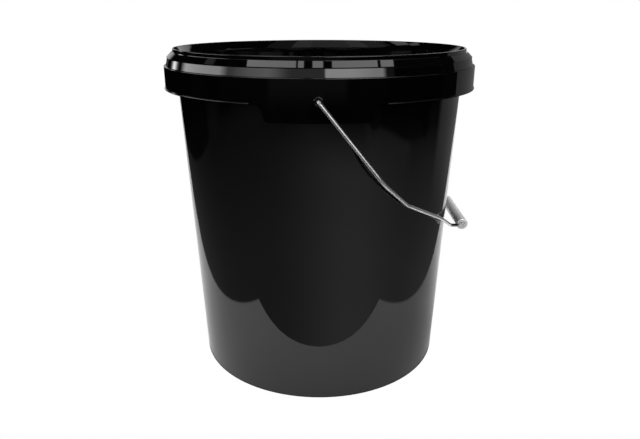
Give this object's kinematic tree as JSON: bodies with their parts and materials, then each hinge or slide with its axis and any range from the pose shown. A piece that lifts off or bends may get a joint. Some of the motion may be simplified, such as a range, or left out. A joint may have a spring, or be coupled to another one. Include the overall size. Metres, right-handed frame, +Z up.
{
  "type": "bucket with lid",
  "caption": "Round tapered black plastic bucket with a skirted collar, a press-on recessed lid that lifts off, and a swinging wire bail with a turning tube grip.",
  "frame": {"origin": "on the floor under the middle of the bucket", "axes": "+Z up along the bucket's axis, Y along the bail's pivots, +X to the side on which the bail hangs"},
  "size_m": [0.3272, 0.3364, 0.3449],
  "materials": {
    "pail_plastic": "glossy moulded black",
    "lid_plastic": "glossy moulded black",
    "seal_rubber": "matt",
    "bail_steel": "bright plated wire",
    "grip_steel": "bright plated tube"
  },
  "bodies": {
    "pail": {"pail": "pail_plastic"},
    "lid": {"lid": "lid_plastic", "lid_seal": "seal_rubber"},
    "bail": {"bail_wire": "bail_steel"},
    "grip": {"grip": "grip_steel"}
  },
  "joints": [
    {"name": "lid_lift", "type": "slide", "parent": "pail", "child": "lid", "axis": [0, 0, 1], "range_m": [0, 0.15]},
    {"name": "bail_swing", "type": "hinge", "parent": "pail", "child": "bail", "pos_m": [0, 0, 0.3094], "axis": [0, -1, 0], "range_deg": [0, 268]},
    {"name": "grip_spin", "type": "hinge", "parent": "bail", "child": "grip", "pos_m": [0.15754, 0, 0.15905], "axis": [0, 1, 0], "continuous": true}
  ]
}
